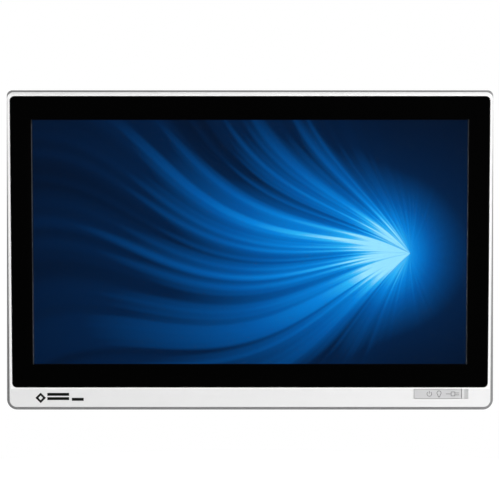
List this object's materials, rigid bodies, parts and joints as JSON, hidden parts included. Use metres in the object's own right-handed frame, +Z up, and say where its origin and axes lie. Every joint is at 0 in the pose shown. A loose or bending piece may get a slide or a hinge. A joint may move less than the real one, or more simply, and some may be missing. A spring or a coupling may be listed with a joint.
{
  "type": "all-in-one PC",
  "caption": "Flat wall- or arm-mounted computer built behind a wide touch screen, with a hinged control door below the glass, rear service hatch, cable bay and blower.",
  "frame": {"origin": "centre of the rear square bolt pattern, on the plane of its bosses", "axes": "+X to the right seen from the front, +Y out of the back through the bolt pattern, +Z up; the screen faces -Y"},
  "size_m": [0.5374, 0.0451, 0.3516],
  "materials": {
    "front_bezel": "white, satin",
    "mid_frame": "mid grey, fine grain",
    "cover_glass": "chemically hardened cover glass",
    "black_border": "black ink printed on the glass's back",
    "touch_sensor": "clear sensor glass",
    "glass_tape": "black foam tape",
    "lcd_frame": "pressed bright steel",
    "lcd_panel": "liquid crystal glass, lit from behind",
    "lcd_carrier": "white moulded",
    "light_guide": "clear acrylic with diffusing film",
    "led_bar": "circuit strip with diodes",
    "lcd_tray": "galvanised sheet",
    "timing_board": "printed circuit board",
    "touch_board": "printed circuit board",
    "name_mark": "black ink",
    "access_door": "light grey, satin",
    "door_pin": "steel pin",
    "control_pocket": "light grey, moulded",
    "power_button": "dark grey, moulded",
    "backlight_button": "dark grey, moulded",
    "front_usb_port": "stamped steel shell",
    "front_io_board": "printed circuit board",
    "tact_switches": "moulded, black",
    "rear_cover": "mid grey, fine grain",
    "cable_cover": "mid grey, fine grain",
    "drive_hatch": "mid grey, fine grain",
    "hatch_screws": "nickel plated",
    "case_screws": "black oxide",
    "chassis_plate": "galvanised sheet",
    "chassis_screws": "nickel plated",
    "vesa_bridge": "galvanised sheet",
    "io_bracket": "galvanised sheet",
    "mainboard": "printed circuit board",
    "board_parts": "moulded packages",
    "board_standoffs": "turned brass",
    "cold_plate": "copper block",
    "heat_pipes": "copper tube",
    "fin_stack": "thin aluminium sheet",
    "blower_housing": "moulded, black",
    "blower_bearing": "sintered bronze",
    "blower_rotor": "moulded, black",
    "memory_sockets": "moulded, black",
    "memory_modules": "printed circuit board",
    "wifi_card": "printed circuit board",
    "coin_cell": "steel can",
    "drive_bracket": "galvanised sheet",
    "solid_state_drive": "dark anodised",
    "left_speaker": "moulded, black",
    "right_speaker": "moulded, black",
    "antennas": "flexible printed film",
    "dc_jack": "moulded, black",
    "hdmi_port": "stamped steel shell",
    "display_port": "stamped steel shell",
    "rear_usb_ports": "stamped steel shell",
    "lan_ports": "stamped steel shell",
    "serial_port": "stamped steel shell",
    "audio_jacks": "moulded, black",
    "display_cable": "flat flexible cable",
    "drive_cable": "flat flexible cable",
    "front_io_cable": "sheathed cable"
  },
  "bodies": {
    "panel_pc": {"front_bezel": "front_bezel", "mid_frame": "mid_frame", "cover_glass": "cover_glass", "black_border": "black_border", "touch_sensor": "touch_sensor", "glass_tape": "glass_tape", "lcd_frame": "lcd_frame", "lcd_panel": "lcd_panel", "lcd_carrier": "lcd_carrier", "light_guide": "light_guide", "led_bar": "led_bar", "lcd_tray": "lcd_tray", "timing_board": "timing_board", "touch_board": "touch_board", "name_mark": "name_mark", "door_pin": "door_pin", "control_pocket": "control_pocket", "front_usb_port": "front_usb_port", "front_io_board": "front_io_board", "tact_switches": "tact_switches", "rear_cover": "rear_cover", "case_screws": "case_screws", "chassis_plate": "chassis_plate", "chassis_screws": "chassis_screws", "vesa_bridge": "vesa_bridge", "io_bracket": "io_bracket", "mainboard": "mainboard", "board_parts": "board_parts", "board_standoffs": "board_standoffs", "cold_plate": "cold_plate", "heat_pipes": "heat_pipes", "fin_stack": "fin_stack", "blower_housing": "blower_housing", "blower_bearing": "blower_bearing", "memory_sockets": "memory_sockets", "memory_modules": "memory_modules", "wifi_card": "wifi_card", "coin_cell": "coin_cell", "drive_bracket": "drive_bracket", "solid_state_drive": "solid_state_drive", "left_speaker": "left_speaker", "right_speaker": "right_speaker", "antennas": "antennas", "dc_jack": "dc_jack", "hdmi_port": "hdmi_port", "display_port": "display_port", "rear_usb_ports": "rear_usb_ports", "lan_ports": "lan_ports", "serial_port": "serial_port", "audio_jacks": "audio_jacks", "display_cable": "display_cable", "drive_cable": "drive_cable", "front_io_cable": "front_io_cable"},
    "access_door": {"access_door": "access_door"},
    "power_button": {"power_button": "power_button"},
    "backlight_button": {"backlight_button": "backlight_button"},
    "blower_rotor": {"blower_rotor": "blower_rotor"},
    "cable_cover": {"cable_cover": "cable_cover"},
    "drive_hatch": {"drive_hatch": "drive_hatch", "hatch_screws": "hatch_screws"}
  },
  "joints": [
    {"name": "door_hinge", "type": "hinge", "parent": "panel_pc", "child": "access_door", "pos_m": [0.1832, -0.0434, -0.1576], "axis": [0, 0, -1], "range_deg": [0, 110]},
    {"name": "power_press", "type": "slide", "parent": "panel_pc", "child": "power_button", "axis": [0, 1, 0], "range_m": [0, 0.0006], "stiffness_N_per_m": 300, "springref_m": -0.002},
    {"name": "backlight_press", "type": "slide", "parent": "panel_pc", "child": "backlight_button", "axis": [0, 1, 0], "range_m": [0, 0.0006], "stiffness_N_per_m": 300, "springref_m": -0.002},
    {"name": "blower_spin", "type": "hinge", "parent": "panel_pc", "child": "blower_rotor", "pos_m": [0.004, -0.0195, 0.092], "axis": [0, 1, 0], "continuous": true},
    {"name": "cable_cover_slide", "type": "slide", "parent": "panel_pc", "child": "cable_cover", "axis": [0, 1, 0], "range_m": [0, 0.04]},
    {"name": "hatch_slide", "type": "slide", "parent": "panel_pc", "child": "drive_hatch", "axis": [0, 1, 0], "range_m": [0, 0.06]}
  ]
}
